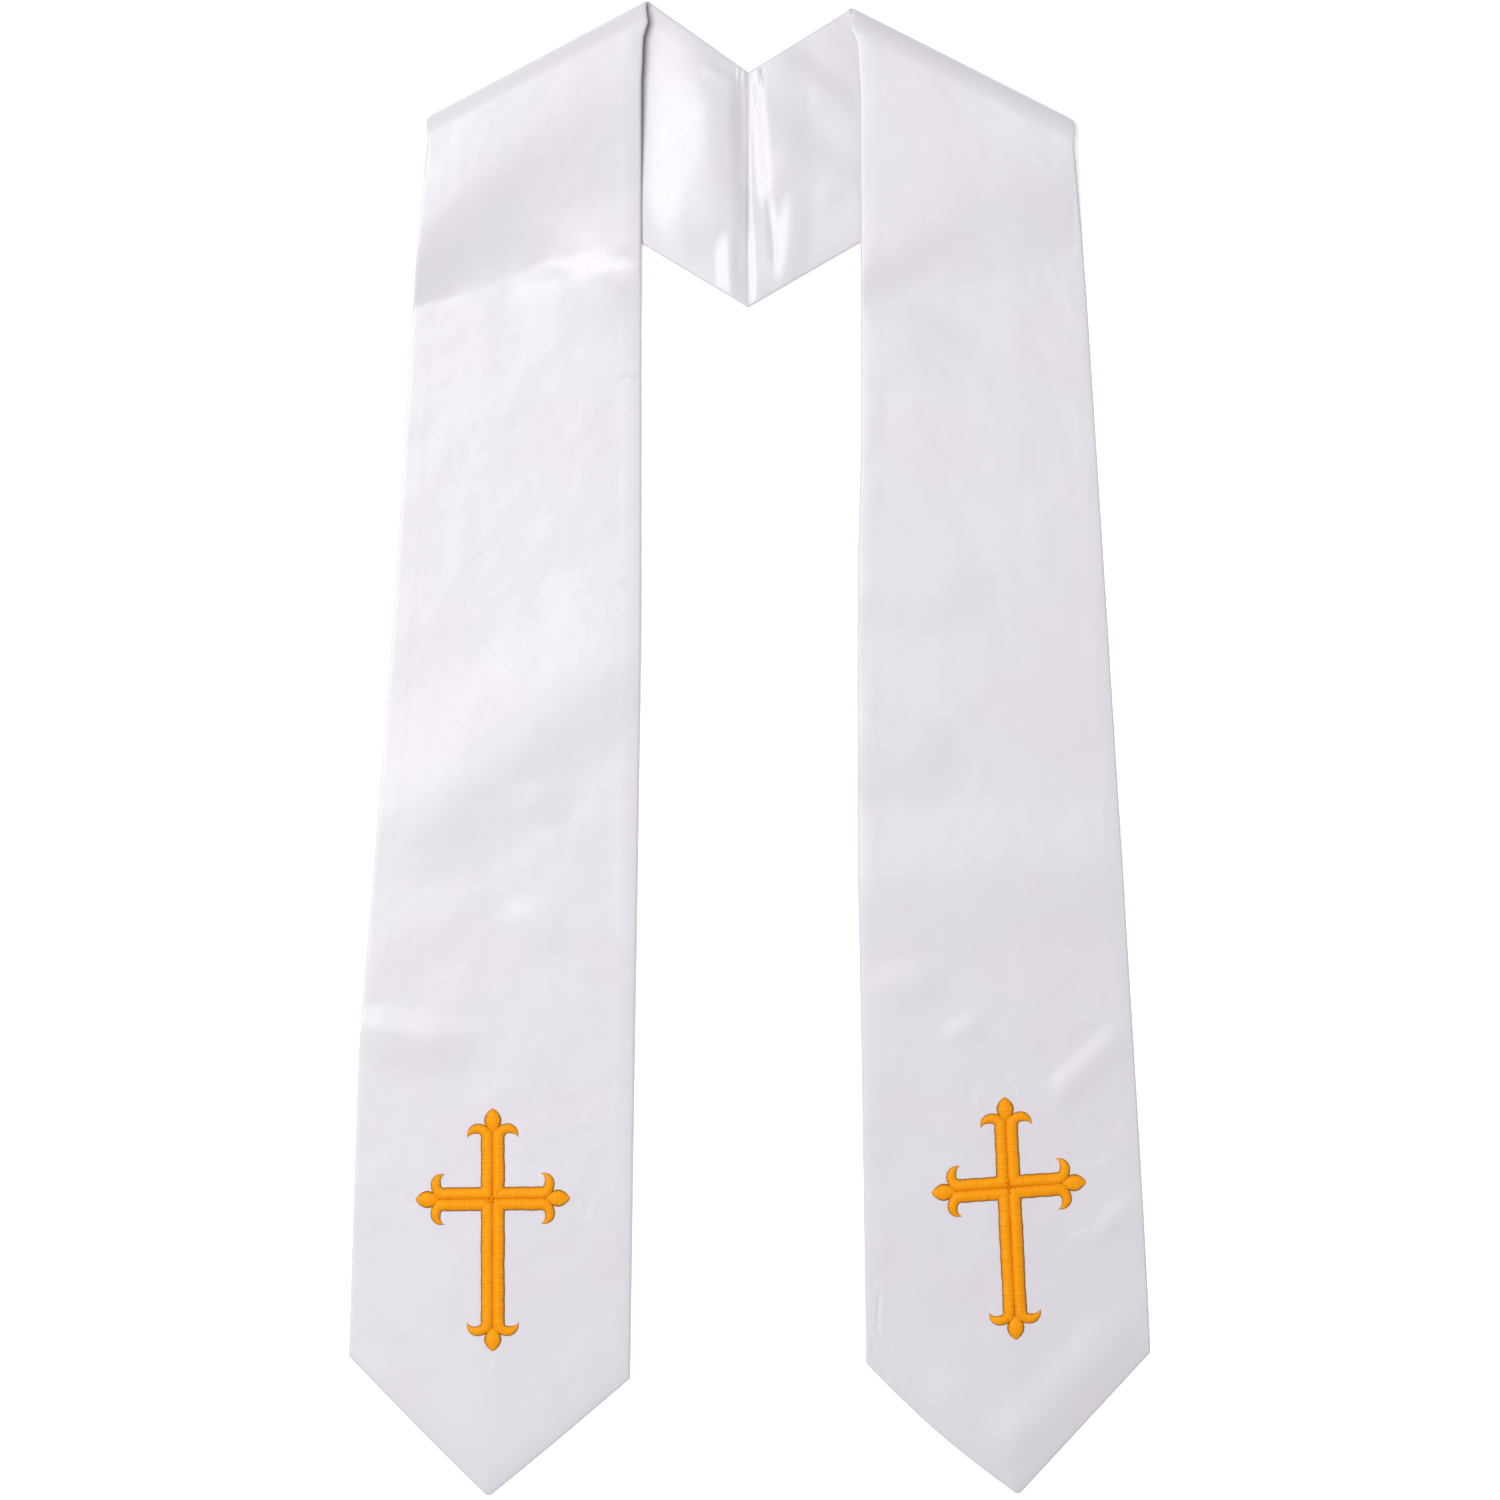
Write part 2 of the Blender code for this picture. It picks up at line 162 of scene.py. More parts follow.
# The satin: its floats' pitch, gloss from float to float, relief, tints and slack
FLOATS_TO_A_METRE = (2000.0, 330.0, 1.0)
FLOAT_ROUGHNESS = {"To Min": 0.32, "To Max": 0.40}
FLOAT_RELIEF = 0.03
TINT_SCALE = 14.0
SLACK_SCALE = 24.0
SLACK_RELIEF = 0.8
# The gold: how often its tone changes along a strand, and where and how strongly shade is painted
# down a lobe's sides
SHADES_TO_A_METRE = 150.0
PAINTED_SHADE_STARTS = 0.46
PAINTED_SHADE_ENDS = 0.84
PAINTED_SIDE_SHADE = 0.92

# The stage, in metres
FLOOR_DROP = 0.0002
CAMERA_AIM = (0.00026, -0.00053)
SENSOR_WIDTH = 36.0
CLIP_END = 100.0
SoftLight = namedtuple("SoftLight", "name power location target size")
SOFT_LIGHTS = (
    SoftLight("key_softbox", "key_power", (-1.0, 0.35, 2.7), (0.0, 0.0, 0.0), 1.2),
    SoftLight("top_softbox", "top_power", (-0.3, 0.55, 2.2), (-0.05, 0.15, 0.0), 0.8),
    SoftLight("side_softbox", "side_power", (1.9, -0.2, 1.5), (0.0, 0.0, 0.0), 1.2),
)

Place = namedtuple("Place", "out down")
# A soft ridge, or a trough where its height is negative. It runs from a to b, outwards or down.
# "Plus" is the width of its flank above a run outwards, or outside a run down; "minus" the other.
# "Fade" is how far it dies away past its ends; "open" and "end" are its width and height at b,
# as shares of those at a; a "sharp" one has its crest pressed in.
Fold = namedtuple(
    "Fold",
    "out_a down_a out_b down_b plus minus height fade open end sharp",
    defaults=(3.0, 1.0, 1.0, 0.0),
)
# How far below the shoulder fold the panel comes to rest beside each of its edges, how that line
# bows between them, how late the cloth starts to come down beside each, the share of its drop
# beside the outer edge that is one straight slope, and how crisply it ends beside the neck edge
Settle = namedtuple("Settle", "neck outer bow neck_late outer_late straight crisp")
# The crossbar is turned by "tilt", and the upright by "skew" less, in degrees
Cross = namedtuple("Cross", "out down tilt skew")
Bows = namedtuple("Bows", "neck_side outer_side")
# A pressed edge falls by a share of the band's thickness over its width
Edge = namedtuple("Edge", "width fall")
Edges = namedtuple("Edges", "back_neck back_outer neck outer hem_neck hem_outer")
Half = namedtuple(
    "Half",
    "name side shoulder_neck shoulder_outer neck_edge outer_edge tip tip_bows cross "
    "settle folds back_folds face_creases lining_creases edges",
)

LEFT = Half(
    name="left",
    side=-1,
    shoulder_neck=Place(53.8, 0.0),
    shoulder_outer=Place(169.6, 61.5),
    neck_edge=(
        Place(56.4, 22.0), Place(56.4, 328.0), Place(58.3, 455.0), Place(60.4, 582.0),
        Place(62.5, 729.8),
    ),
    outer_edge=(
        Place(176.0, 137.0), Place(188.2, 328.0), Place(198.2, 455.0), Place(206.2, 551.0),
        Place(208.6, 620.0), Place(211.6, 718.2),
    ),
    tip=Place(137.8, 792.9),
    tip_bows=Bows(neck_side=0.4, outer_side=0.5),
    cross=Cross(out=135.2, down=634.7, tilt=0.6, skew=0.6),
    settle=Settle(
        neck=103, outer=90, bow=1.0, neck_late=1.2, outer_late=5.0, straight=0.15, crisp=0.55
    ),
    folds=(
        Fold(50, 139, 92, 150, 18, 40, 2.3, fade=40, open=0.9, end=0.7),
        Fold(74, 352, 160, 420, 60, 46, 1.9, fade=60),
        Fold(168, 549, 190, 546, 15, 26, 1.3, fade=30),
    ),
    back_folds=(
        Fold(28, 44, 30, 98, 26, 27, 2.7, fade=44),
        Fold(11, 60, 9, 110, 24, 9.5, 2.3, fade=30),
        Fold(9.5, 138, 9, 150, 8, 6, 1.2, fade=20),
    ),
    face_creases=(
        Fold(54, 117.3, 72, 121.0, 2.4, 1.2, -0.5, fade=8, end=0.2, open=2.0),
        Fold(166, 159.5, 180, 162.0, 9, 5, -0.4, fade=20),
        Fold(54, 199.6, 67, 200.4, 1.3, 1.5, -0.6, fade=5, end=0.5),
        Fold(54, 197.2, 68, 197.6, 2.4, 1.4, 0.35, fade=5, end=0.4),
        Fold(54, 315.5, 65, 310.0, 5, 1.2, -0.35, fade=6),
        Fold(108, 425, 111, 424, 14, 15, 0.7, fade=18),
        Fold(109, 489, 113, 487, 15, 18, 0.7, fade=22),
        Fold(109.4, 621.0, 115.5, 611.6, 1.1, 1.1, -0.55),
        Fold(84.5, 639.5, 94.0, 635.2, 1.6, 2.2, -0.4),
        Fold(178.0, 634.6, 186.0, 632.0, 2.0, 2.4, -0.3, fade=4),
        Fold(137.2, 716.5, 138.4, 724.0, 1.8, 1.8, -0.35, fade=4),
    ),
    lining_creases=(
        Fold(0.2, 103, 0.3, 163, 0.7, 0.7, -0.9, fade=6, open=3.5, sharp=-1.0),
        Fold(0.2, 36, 0.2, 103, 1.3, 1.3, -0.5, fade=2),
        Fold(9, 44, 18, 38, 4, 7, 0.5, fade=9),
        Fold(5.2, 37, 5.6, 45, 1.1, 1.1, 0.6, end=0.4),
        Fold(2.2, 36, 2.6, 48, 0.8, 0.8, 0.4, end=0.2),
    ),
    edges=Edges(
        back_neck=Edge(14, 0.55), back_outer=Edge(5, 0.25), neck=Edge(10, 0.45),
        outer=Edge(3, 0.15), hem_neck=Edge(10, 0.7), hem_outer=Edge(4, 0.4),
    ),
)

RIGHT = Half(
    name="right",
    side=1,
    shoulder_neck=Place(55.0, 3.7),
    shoulder_outer=Place(172.4, 63.1),
    neck_edge=(
        Place(58.8, 26.0), Place(59.9, 232.0), Place(57.8, 300.0), Place(57.8, 455.0),
        Place(59.9, 551.0), Place(62.5, 722.0),
    ),
    outer_edge=(
        Place(178.1, 137.0), Place(190.3, 328.0), Place(198.2, 455.0), Place(209.9, 646.0),
        Place(213.2, 716.0),
    ),
    tip=Place(143.1, 791.8),
    tip_bows=Bows(neck_side=2.8, outer_side=0.0),
    cross=Cross(out=138.2, down=628.7, tilt=4.2, skew=1.4),
    settle=Settle(
        neck=128, outer=60, bow=1.6, neck_late=1.0, outer_late=1.1, straight=0.5, crisp=0.45
    ),
    folds=(
        Fold(50, 172, 78, 176, 22, 42, 1.0, fade=44),
        Fold(64, 309, 104, 311, 24, 30, 1.3, fade=28),
        Fold(62, 388, 88, 397, 24, 36, 1.8, fade=32),
        Fold(74, 464, 180, 457, 42, 48, 1.7, fade=50),
        Fold(168, 575, 188, 556, 11, 14, 0.9, fade=24),
        Fold(180, 652, 198, 641, 9, 14, 0.7, fade=20),
        Fold(110, 738, 140, 762, 16, 20, 0.9, fade=22),
        Fold(148, 757, 190, 713, 22, 16, 1.2, fade=26),
    ),
    back_folds=(
        Fold(11, 60, 13, 90, 24, 10, 1.7, fade=34),
        Fold(22, 36, 38, 48, 14, 20, 1.1, fade=24),
        Fold(23, 118, 21, 135, 13, 8, 0.9, fade=24),
        Fold(30, 86, 42, 92, 18, 28, 1.0, fade=22),
    ),
    face_creases=(
        Fold(54, 212.0, 74, 210.0, 14, 6, -0.3, fade=26),
        Fold(80, 521, 90, 519, 15, 18, 0.7, fade=20),
        Fold(112, 546, 117, 544, 10, 12, 0.6, fade=14),
        Fold(62, 676, 67, 680, 1.4, 1.6, -0.4),
        Fold(69.5, 685, 68.6, 702, 1.0, 1.0, -0.4, fade=4),
        Fold(74, 729, 66, 712, 3, 2.5, -0.35),
        Fold(136.0, 568.5, 139.5, 577.0, 1.2, 1.6, -0.4),
        Fold(116.5, 575.0, 118.5, 583.5, 1.4, 1.4, -0.4),
        Fold(171.0, 614.5, 186.0, 611.0, 1.2, 2.0, -0.4),
    ),
    lining_creases=(
        Fold(0.2, 103, 0.9, 163, 0.7, 0.7, -0.9, fade=6, open=4.5, sharp=-1.0),
        Fold(0.2, 36, 0.2, 103, 1.0, 1.0, -0.5, fade=2),
        Fold(12, 112, 14, 132, 2.2, 3.2, -0.6, fade=14),
        Fold(6.2, 37, 7.4, 46, 1.1, 1.1, 0.7, end=0.3),
        Fold(3.4, 46, 4.6, 55, 0.7, 0.7, 0.35, fade=2),
    ),
    edges=Edges(
        back_neck=Edge(5, 0.2), back_outer=Edge(14, 0.5), neck=Edge(8, 0.3), outer=Edge(8, 0.2),
        hem_neck=Edge(10, 0.6), hem_outer=Edge(14, 0.95),
    ),
)

HALVES = (LEFT, RIGHT)


# Shapes of the cloth


def ease(value):
    """A soft rise from 0 to 1 as value goes from 0 to 1."""
    held = np.clip(value, 0.0, 1.0)
    return held * held * (3.0 - 2.0 * held)


def pair(place):
    return np.array((place.out, place.down))


def fold_frame(half):
    """Directions along the shoulder fold, outward, and square to it, towards the panel."""
    start = pair(half.shoulder_neck)
    along = pair(half.shoulder_outer) - start
    along = along / np.linalg.norm(along)
    return start, along, np.array((-along[1], along[0]))


def edge_outs(edge, downs):
    """How far out an edge lies at each distance down, with its table's corners smoothed."""
    table_downs = [place.down for place in edge]
    table_outs = [place.out for place in edge]
    reach = np.minimum(SMOOTHING, np.minimum(downs - table_downs[0], table_downs[-1] - downs))
    reach = np.maximum(reach, 0.0)
    shares = np.linspace(-1.0, 1.0, SMOOTHING_SAMPLES)
    total = sum(np.interp(downs + reach * share, table_downs, table_outs) for share in shares)
    return total / len(shares)


def drift(direction, along, inward):
    """How far an edge moves along the fold for each unit that it runs square to it."""
    return float(direction @ along) / float(direction @ inward)


def fold_lift(folds, spots):
    """How far the soft folds lift the cloth at each spot."""
    lift = np.zeros(spots.shape[:-1])
    for fold in folds:
        run = np.array((fold.out_b - fold.out_a, fold.down_b - fold.down_a))
        length = np.linalg.norm(run)
        run = run / length
        offset = spots - np.array((fold.out_a, fold.down_a))
        along = offset @ run
        beside = offset @ np.array((run[1], -run[0]))
        share = np.clip(along / length, 0.0, 1.0)
        flank = np.where(beside > 0.0, fold.plus, fold.minus) * (1.0 + (fold.open - 1.0) * share)
        past_end = (along - share * length) / fold.fade
        near = np.clip(1.0 - np.hypot(beside / flank, past_end), 0.0, 1.0)
        shape = ease(near) * (1.0 - fold.sharp) + near * near * fold.sharp
        lift += fold.height * (1.0 + (fold.end - 1.0) * share) * shape
    return lift


def back_edge_distance(half, spots):
    """Distance of each spot past the outer edge of the back band, away from the neck."""
    start = pair(half.shoulder_outer)
    run = np.array((0.0, SEAM_FOOT)) - start
    run = run / np.linalg.norm(run)
    return (spots - start) @ np.array((run[1], -run[0]))


def cross_distance(half, spots):
    """Distance of spots from the bars of the cross, whose stitches hold the cloth flat."""
    turn = math.radians(half.cross.tilt)
    aside = half.side * (spots[..., 0] - half.cross.out)
    above = half.cross.down - spots[..., 1]
    across = np.abs(aside * math.cos(turn) + above * math.sin(turn))
    upward = above * math.cos(turn) - aside * math.sin(turn)
    past_ends = np.maximum(upward - ARM_REACH["up"], -ARM_REACH["down"] - upward)
    upright = np.hypot(np.maximum(across - BAR_HALF, 0.0), np.maximum(past_ends, 0.0))
    beside = np.maximum(across - ARM_REACH["out"], 0.0)
    beam = np.hypot(beside, np.maximum(np.abs(upward) - BAR_HALF, 0.0))
    return np.minimum(upright, beam)


def panel_height(half, spots):
    """Height of the middle of the front panel: down from the roll and over the back band."""
    start, _, inward = fold_frame(half)
    from_fold = (spots - start) @ inward
    beside = (spots[..., 0] - start[0]) / (half.shoulder_outer.out - start[0])
    beside = np.clip(beside, 0.0, 1.0)
    level = REST + ROLL_OVER * ROLL_LONG
    settle = half.settle
    settled = settle.neck + (settle.outer - settle.neck) * beside**settle.bow
    late = settle.neck_late + (settle.outer_late - settle.neck_late) * beside**4
    straight = settle.straight * beside**2
    share = np.clip((from_fold - level) / (settled - level), 0.0, 1.0)
    crisp = settle.crisp * (1.0 - beside)
    drop = ease(share) ** late * (1.0 - crisp) + share ** (2.0 * late) * crisp
    drop = share * straight + drop * (1.0 - straight)
    roll_top = ROLL_UNDER + ROLL_OVER
    slope = roll_top * (1.0 - drop)
    past = back_edge_distance(half, spots)
    carried = (BAND + LEG_GAP) * (1.0 - ease((past - STEP_START) / STEP_LENGTH))
    free = ease((cross_distance(half, spots) - CROSS_HELD) / CROSS_FREE)
    lift = fold_lift(half.folds, spots) * free
    return REST + np.hypot(slope, carried * (1.0 - slope / roll_top)) + lift


def across_shares(columns):
    """Where the columns lie across the band, closer together near its edges."""
    even = np.linspace(0.0, 1.0, columns)
    return even - EDGE_CROWDING * np.sin(2 * math.pi * even) / (2 * math.pi)


def rows_between(necks, outers, columns):
    shares = across_shares(columns)[None, :, None]
    return necks[:, None, :] + (outers - necks)[:, None, :] * shares


def tip_edge(half, shares):
    """Spots on the pointed end, from the neck side's corner by the tip to the outer corner."""
    spots = np.empty((len(shares), 2))
    from_neck = shares / TIP_COLUMN
    from_outer = (1.0 - shares) / (1.0 - TIP_COLUMN)
    sides = (
        (shares <= TIP_COLUMN, half.neck_edge[-1], from_neck, half.tip_bows.neck_side, -1.0),
        (shares > TIP_COLUMN, half.outer_edge[-1], from_outer, half.tip_bows.outer_side, 1.0),
    )
    for here, corner, from_corner, bow, outward in sides:
        run = pair(half.tip) - pair(corner)
        square = np.array((run[1], -run[0])) * outward / np.linalg.norm(run)
        place = from_corner[here, None]
        spots[here] = pair(corner) + run * place + square * bow * np.sin(math.pi * place)
    return spots


def roll_rows(half, rows, columns):
    """Rows round the shoulder fold, tighter below than above, without its first and last."""
    start, along, inward = fold_frame(half)
    end = pair(half.shoulder_outer)
    neck_run = drift(pair(half.neck_edge[1]) - pair(half.neck_edge[0]), along, inward)
    outer_run = drift(pair(half.outer_edge[0]) - end, along, inward)
    turns = np.linspace(0.0, math.pi, rows)[:, None]
    radius = np.where(turns < math.pi / 2, ROLL_UNDER, ROLL_OVER)
    reach = radius * np.where(turns < math.pi / 2, 1.0, ROLL_LONG)
    across = REST + reach * (1.0 - np.sin(turns))
    cloth = radius * (turns - math.pi / 2)
    necks = start + inward * across + along * neck_run * cloth
    outers = end + inward * across + along * outer_run * cloth
    heights = REST + ROLL_UNDER - radius * np.cos(turns)
    return rows_between(necks, outers, columns), np.repeat(heights, columns, axis=1), turns[:, 0]


def panel_shares(rows):
    """Where the rows lie along the panel, closer together just before the pointed end."""
    end_share = END_LENGTH / (SHOULDER_Y * 2)
    plain = np.linspace(0.0, 1.0 - end_share, rows + 1)[1:]
    return np.concatenate((plain, np.linspace(1.0 - end_share, 1.0, END_ROWS + 1)[1:]))


def panel_rows(half, last_neck, last_outer, rows, columns):
    """The front panel, from the head of the roll to the pointed end."""
    neck_edge = (Place(*last_neck),) + half.neck_edge
    outer_edge = (Place(*last_outer),) + half.outer_edge
    shares = panel_shares(rows)
    neck_downs = last_neck[1] + (half.neck_edge[-1].down - last_neck[1]) * shares
    outer_downs = last_outer[1] + (half.outer_edge[-1].down - last_outer[1]) * shares
    necks = np.stack((edge_outs(neck_edge, neck_downs), neck_downs), axis=1)
    outers = np.stack((edge_outs(outer_edge, outer_downs), outer_downs), axis=1)
    spots = rows_between(necks, outers, columns)
    pointed = ease((shares - TIP_STARTS) / (1.0 - TIP_STARTS))[:, None, None]
    spots = spots + (tip_edge(half, across_shares(columns))[None] - spots) * pointed
    return spots, panel_height(half, spots)


def band_middle(half, back_count, panel_count, columns):
    """The middle of the cloth from seam to tip and neck edge to outer edge, with its turns."""
    roll_spots, roll_heights, turns = roll_rows(half, ROLL_ROWS, columns)
    shares = np.linspace(0.0, 1.0, back_count + 1)[:-1, None]
    seam_neck = np.array((SEAM_GAP / 2, SEAM_TOP))
    seam_outer = np.array((SEAM_GAP / 2, SEAM_FOOT))
    necks = seam_neck + (roll_spots[0, 0] - seam_neck) * shares
    outers = seam_outer + (roll_spots[0, -1] - seam_outer) * shares
    back_spots = rows_between(necks, outers, columns)
    back_heights = REST + fold_lift(half.back_folds, back_spots)
    last = roll_spots[-1]
    panel_spots, panel_heights = panel_rows(half, last[0], last[-1], panel_count, columns)
    spots = np.concatenate((back_spots, roll_spots, panel_spots))
    heights = np.concatenate((back_heights, roll_heights, panel_heights))
    panel_total = len(panel_spots)
    turned = np.concatenate((np.zeros(back_count), turns, np.full(panel_total, math.pi)))
    return spots, heights, turned


def in_frame(half, spots, heights):
    """Points of the part's own frame, in millimetres."""
    x = SEAM_X + half.side * spots[..., 0]
    y = SHOULDER_Y - spots[..., 1]
    return np.stack((x, y, heights), axis=-1)


def face_side(points, side):
    """Unit directions out of the face of the cloth: up on the panel, down on the back band."""
    out = np.cross(np.gradient(points, axis=0), np.gradient(points, axis=1)) * side
    return out / np.linalg.norm(out, axis=-1, keepdims=True)


def distance_to_run(points, starts, ends):
    """Distance of points from straight runs, one run for each point."""
    run = ends - starts
    squared = np.maximum(np.sum(run * run, axis=-1), TINY)
    share = np.sum((points - starts) * run, axis=-1) / squared
    nearest = starts + run * np.clip(share, 0.0, 1.0)[..., None]
    return np.linalg.norm(points - nearest, axis=-1)


def side_distance(points, column):
    """Distance of each point of a band from the edge that runs down one of its columns."""
    rows = points.shape[0]
    nearest = np.full(points.shape[:2], np.inf)
    order = np.arange(rows)
    edge = points[:, column]
    for offset in range(-END_ROWS, END_ROWS):
        start = np.clip(order + offset, 0, rows - 2)
        apart = distance_to_run(points, edge[start][:, None], edge[start + 1][:, None])
        nearest = np.minimum(nearest, apart)
    return nearest


def hem_distance(points):
    """Distance of each point of a band from its pointed end, for its last rows only."""
    nearest = np.full(points.shape[:2], np.inf)
    columns = points.shape[1]
    order = np.arange(columns)
    last = points[-HEM_ROWS:]
    for offset in range(-END_ROWS, END_ROWS):
        start = np.clip(order + offset, 0, columns - 2)
        apart = distance_to_run(last, points[-1][start][None], points[-1][start + 1][None])
        nearest[-HEM_ROWS:] = np.minimum(nearest[-HEM_ROWS:], apart)
    return nearest


def rounded(distance, width):
    """A quarter ellipse that rises from 0 at an edge to 1 at a width from it."""
    return np.sqrt(1.0 - (1.0 - np.clip(distance / width, 0.0, 1.0)) ** 2)


def pressed_edges(half, points, turned, columns):
    """How much of its thickness a band keeps at each point, and the distance from its edges."""
    edges = half.edges
    on_panel = (turned / math.pi)[:, None]
    neck = side_distance(points, 0)
    outer = side_distance(points, columns - 1)
    hem = hem_distance(points)
    kept = np.minimum(rounded(neck, EDGE_TURN), rounded(outer, EDGE_TURN))
    kept = np.minimum(kept, rounded(hem, EDGE_TURN))
    beside_tip = np.where(across_shares(columns) <= TIP_COLUMN, 1.0, 0.0)[None, :]
    falls = (
        (neck, edges.neck, on_panel),
        (neck, edges.back_neck, 1.0 - on_panel),
        (outer, edges.outer, on_panel),
        (outer, edges.back_outer, 1.0 - on_panel),
        (hem, edges.hem_neck, beside_tip),
        (hem, edges.hem_outer, 1.0 - beside_tip),
    )
    for distance, edge, weight in falls:
        kept = kept * (1.0 - edge.fall * weight * (1.0 - rounded(distance, edge.width)))
    return kept, np.minimum(np.minimum(neck, outer), hem)


def allowance_relief(from_edge):
    """The seam allowance inside the band, which shows as a low step beside each edge."""
    return ALLOWANCE_STEP * (1.0 - ease((from_edge - ALLOWANCE) / ALLOWANCE_EASE))


def cloth_surface(half, on_face):
    """The outer side of a face or a lining as rows of points, with their places on flat cloth."""
    counts = (HIDDEN_BACK_ROWS, PANEL_ROWS) if on_face else (BACK_ROWS, HIDDEN_PANEL_ROWS)
    creases = half.face_creases if on_face else half.lining_creases
    spots, heights, turned = band_middle(half, *counts, COLUMNS)
    middle = in_frame(half, spots, heights)
    out = face_side(middle, half.side)
    kept, from_edge = pressed_edges(half, middle, turned, COLUMNS)
    sink = (REST - EDGE_HALF) * (1.0 - kept) * np.cos(turned)[:, None]
    offset = EDGE_HALF + (REST - EDGE_HALF) * kept
    shown = np.cos(turned)[:, None] * (-1.0 if on_face else 1.0)
    relief = fold_lift(creases, spots) + allowance_relief(from_edge)
    offset = np.maximum(offset + relief * np.clip(shown, 0.0, 1.0), EDGE_HALF)
    points = middle + out * sink[..., None]
    points = points + out * (offset if on_face else -offset)[..., None]
    down_cloth = np.linalg.norm(np.diff(middle, axis=0), axis=-1).mean(axis=1)
    along = np.concatenate(([0.0], np.cumsum(down_cloth)))
    across = np.linalg.norm(middle - middle[:, :1], axis=-1)
    flat = np.stack((across, np.repeat(along[:, None], COLUMNS, axis=1)), axis=-1)
    return points, flat


# Making pieces


def select_only(piece):
    bpy.ops.object.select_all(action="DESELECT")
    piece.select_set(True)
    bpy.context.view_layer.objects.active = piece


def grid_piece(name, points, flat, flipped):
    """A sheet of faces through rows and columns of points, shaped from a grid primitive."""
    rows, columns = points.shape[:2]
    bpy.ops.object.select_all(action="DESELECT")
    bpy.ops.mesh.primitive_grid_add(x_subdivisions=columns - 1, y_subdivisions=rows - 1, size=1.0)
    piece = bpy.context.object
    piece.name = name
    mesh = piece.data
    mesh.name = name
    mesh.vertices.foreach_set("co", (points.reshape(-1) * MM).astype(np.float32))
    corners = np.empty(len(mesh.loops), dtype=np.int32)
    mesh.loops.foreach_get("vertex_index", corners)
    places = (flat.reshape(-1, 2) * MM)[corners]
    mesh.uv_layers.active.data.foreach_set("uv", places.astype(np.float32).ravel())
    mesh.uv_layers.active.name = "cloth"
    mesh.update()
    if flipped:
        bpy.ops.object.mode_set(mode="EDIT")
        bpy.ops.mesh.select_all(action="SELECT")
        bpy.ops.mesh.flip_normals()
        bpy.ops.object.mode_set(mode="OBJECT")
    return piece


def thicken(piece, thickness):
    """Gives a sheet its thickness, away from its outer side."""
    select_only(piece)
    wall = piece.modifiers.new("Thickness", "SOLIDIFY")
    wall.thickness = thickness * MM
    wall.offset = -1.0
    wall.use_even_offset = True
    bpy.ops.object.modifier_apply(modifier=wall.name)
    bpy.ops.object.shade_smooth_by_angle(angle=SMOOTH_ANGLE)


def close_piece(piece):
    """Merges a wrapped grid where its sides and ends meet, and faces it outwards."""
    select_only(piece)
    bpy.ops.object.mode_set(mode="EDIT")
    bpy.ops.mesh.select_all(action="SELECT")
    bpy.ops.mesh.remove_doubles(threshold=MERGE_REACH * MM)
    bpy.ops.mesh.normals_make_consistent(inside=False)
    bpy.ops.object.mode_set(mode="OBJECT")
    bpy.ops.object.shade_smooth()


# Materials


def linear(hex_colour):
    """An sRGB hex colour as linear values."""
    values = [int(hex_colour[i:i + 2], 16) / 255 for i in (1, 3, 5)]
    bent = [v / 12.92 if v <= 0.04045 else ((v + 0.055) / 1.055) ** 2.4 for v in values]
    return (*bent, 1.0)


def new_material(name, inputs):
    """A material with its shader and output, and the shader's fixed values."""
    material = bpy.data.materials.new(name)
    material.use_nodes = True
    shader = material.node_tree.nodes["Principled BSDF"]
    for key, value in inputs.items():
        shader.inputs[key].default_value = value
    return material, material.node_tree, shader


def add_node(tree, kind, settings=None, inputs=None, links=None):
    """A node with its settings, its input values and its links, given as node and socket."""
    node = tree.nodes.new(kind)
    for key, value in (settings or {}).items():
        setattr(node, key, value)
    for key, value in (inputs or {}).items():
        node.inputs[key].default_value = value
    for key, (source, socket) in (links or {}).items():
        tree.links.new(source.outputs[socket], node.inputs[key])
    return node


